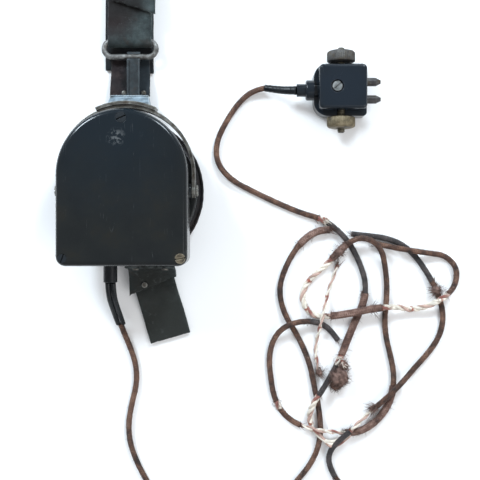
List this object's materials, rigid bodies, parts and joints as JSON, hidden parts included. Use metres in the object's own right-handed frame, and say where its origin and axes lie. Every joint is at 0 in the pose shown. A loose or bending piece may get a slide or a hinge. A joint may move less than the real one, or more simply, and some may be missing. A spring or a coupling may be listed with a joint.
{
  "type": "aviation headset",
  "caption": "Pair of magnetic receivers in arch-shaped cases on a leather strap headband, with yoke hoops, wire loops, cloth-braided cords and a pin plug.",
  "frame": {"origin": "on the ear axis of the right receiver, at the level where its cushion rests", "axes": "+Y along the laid-out headband towards the left receiver, +Z out of the front covers, +X to the right of the right receiver, towards the plug"},
  "size_m": [0.1997, 0.5324, 0.0405],
  "materials": {
    "bakelite": "polished black bakelite with fine scratches and worn edges",
    "brass_screws": "dull brown brass, slotted",
    "magnet_steel": "black-lacquered magnet steel",
    "soft_iron": "plain soft iron",
    "coil_wire": "enamelled copper winding",
    "fibre_board": "red-brown fibre board",
    "diaphragm_tinplate": "tinned iron sheet",
    "cushion_leather": "black leather, lightly worn",
    "rubber": "black rubber, slightly shiny",
    "worn_steel": "nickel worn down to grey-brown steel",
    "bright_steel": "pale worn steel, slotted",
    "zinc_casting": "pale blue-grey cast zinc",
    "blued_steel": "dark blue-grey enamelled steel with worn edges",
    "brown_leather": "purple-brown mottled leather",
    "grey_wire": "dull grey plated wire",
    "strap_leather": "dark grey scuffed leather",
    "lining_leather": "dark lining leather",
    "plug_brass": "tarnished brass",
    "cord_braid": "brown cotton braid, frayed",
    "conductor_strand": "cotton-lapped conductor, cream with a red-brown tracer"
  },
  "bodies": {
    "right_receiver": {"front_cover_right": "bakelite", "rear_case_right": "bakelite", "cover_screws_right": "brass_screws", "magnet_right": "magnet_steel", "pole_pieces_right": "soft_iron", "coils_right": "coil_wire", "terminal_block_right": "fibre_board", "inner_screws_right": "brass_screws", "diaphragm_right": "diaphragm_tinplate", "ear_cap_right": "bakelite", "ear_cushion_right": "cushion_leather", "cord_gland_right": "rubber", "pivot_screws_right": "worn_steel", "chin_tab": "strap_leather", "chin_rivets": "worn_steel", "gland_sleeves": "rubber", "plug_base": "bakelite", "plug_lid": "bakelite", "plug_screw": "bright_steel", "plug_pins": "plug_brass", "plug_studs": "plug_brass", "plug_gland": "bakelite", "plug_sleeve": "rubber", "headset_leg": "cord_braid", "main_cord": "cord_braid", "loop_leg": "cord_braid", "tail_leg": "cord_braid", "loose_strand": "conductor_strand"},
    "right_yoke": {"yoke_hoop_right": "worn_steel", "yoke_saddle_right": "worn_steel", "slider_bracket_right": "zinc_casting", "bracket_rivets_right": "zinc_casting", "strap_hanger_right": "blued_steel", "leather_backing_right": "brown_leather"},
    "right_loop": {"wire_loop_right": "grey_wire"},
    "headband": {"headband_strap": "strap_leather", "headband_lining": "lining_leather"},
    "left_loop": {"wire_loop_left": "grey_wire"},
    "left_yoke": {"yoke_hoop_left": "worn_steel", "yoke_saddle_left": "worn_steel", "slider_bracket_left": "zinc_casting", "bracket_rivets_left": "zinc_casting", "strap_hanger_left": "blued_steel", "leather_backing_left": "brown_leather"},
    "left_receiver": {"front_cover_left": "bakelite", "rear_case_left": "bakelite", "cover_screws_left": "brass_screws", "magnet_left": "magnet_steel", "pole_pieces_left": "soft_iron", "coils_left": "coil_wire", "terminal_block_left": "fibre_board", "inner_screws_left": "brass_screws", "diaphragm_left": "diaphragm_tinplate", "ear_cap_left": "bakelite", "ear_cushion_left": "cushion_leather", "cord_gland_left": "rubber", "pivot_screws_left": "worn_steel"},
    "chin_strap": {"chin_strap": "strap_leather"},
    "thumb_nut_upper": {"thumb_nut_upper": "plug_brass"},
    "thumb_nut_lower": {"thumb_nut_lower": "plug_brass"}
  },
  "joints": [
    {"name": "right_tilt", "type": "hinge", "parent": "right_receiver", "child": "right_yoke", "pos_m": [0, 0, 0.0195], "axis": [1, 0, 0], "range_deg": [-3, 15]},
    {"name": "right_loop_swing", "type": "hinge", "parent": "right_yoke", "child": "right_loop", "pos_m": [0, 0.06695, 0.0056], "axis": [1, 0, 0], "range_deg": [0, 60]},
    {"name": "right_band_swing", "type": "hinge", "parent": "right_loop", "child": "headband", "pos_m": [0, 0.07465, 0.0056], "axis": [1, 0, 0], "range_deg": [0, 45]},
    {"name": "left_band_swing", "type": "hinge", "parent": "headband", "child": "left_loop", "pos_m": [0, 0.24535, 0.0056], "axis": [1, 0, 0], "range_deg": [0, 45]},
    {"name": "left_loop_swing", "type": "hinge", "parent": "left_loop", "child": "left_yoke", "pos_m": [0, 0.25305, 0.0056], "axis": [1, 0, 0], "range_deg": [0, 60]},
    {"name": "left_tilt", "type": "hinge", "parent": "left_yoke", "child": "left_receiver", "pos_m": [0, 0.32, 0.0195], "axis": [1, 0, 0], "range_deg": [-3, 15]},
    {"name": "chin_strap_swing", "type": "hinge", "parent": "right_receiver", "child": "chin_strap", "pos_m": [0.0074, -0.0456, 0.0035], "axis": [0, 0, 1], "range_deg": [-8, 15]},
    {"name": "upper_nut_turn", "type": "hinge", "parent": "right_receiver", "child": "thumb_nut_upper", "pos_m": [0.1036, 0.066, 0.01], "axis": [0, 1, 0], "continuous": true},
    {"name": "lower_nut_turn", "type": "hinge", "parent": "right_receiver", "child": "thumb_nut_lower", "pos_m": [0.1036, 0.034, 0.01], "axis": [0, -1, 0], "continuous": true}
  ]
}
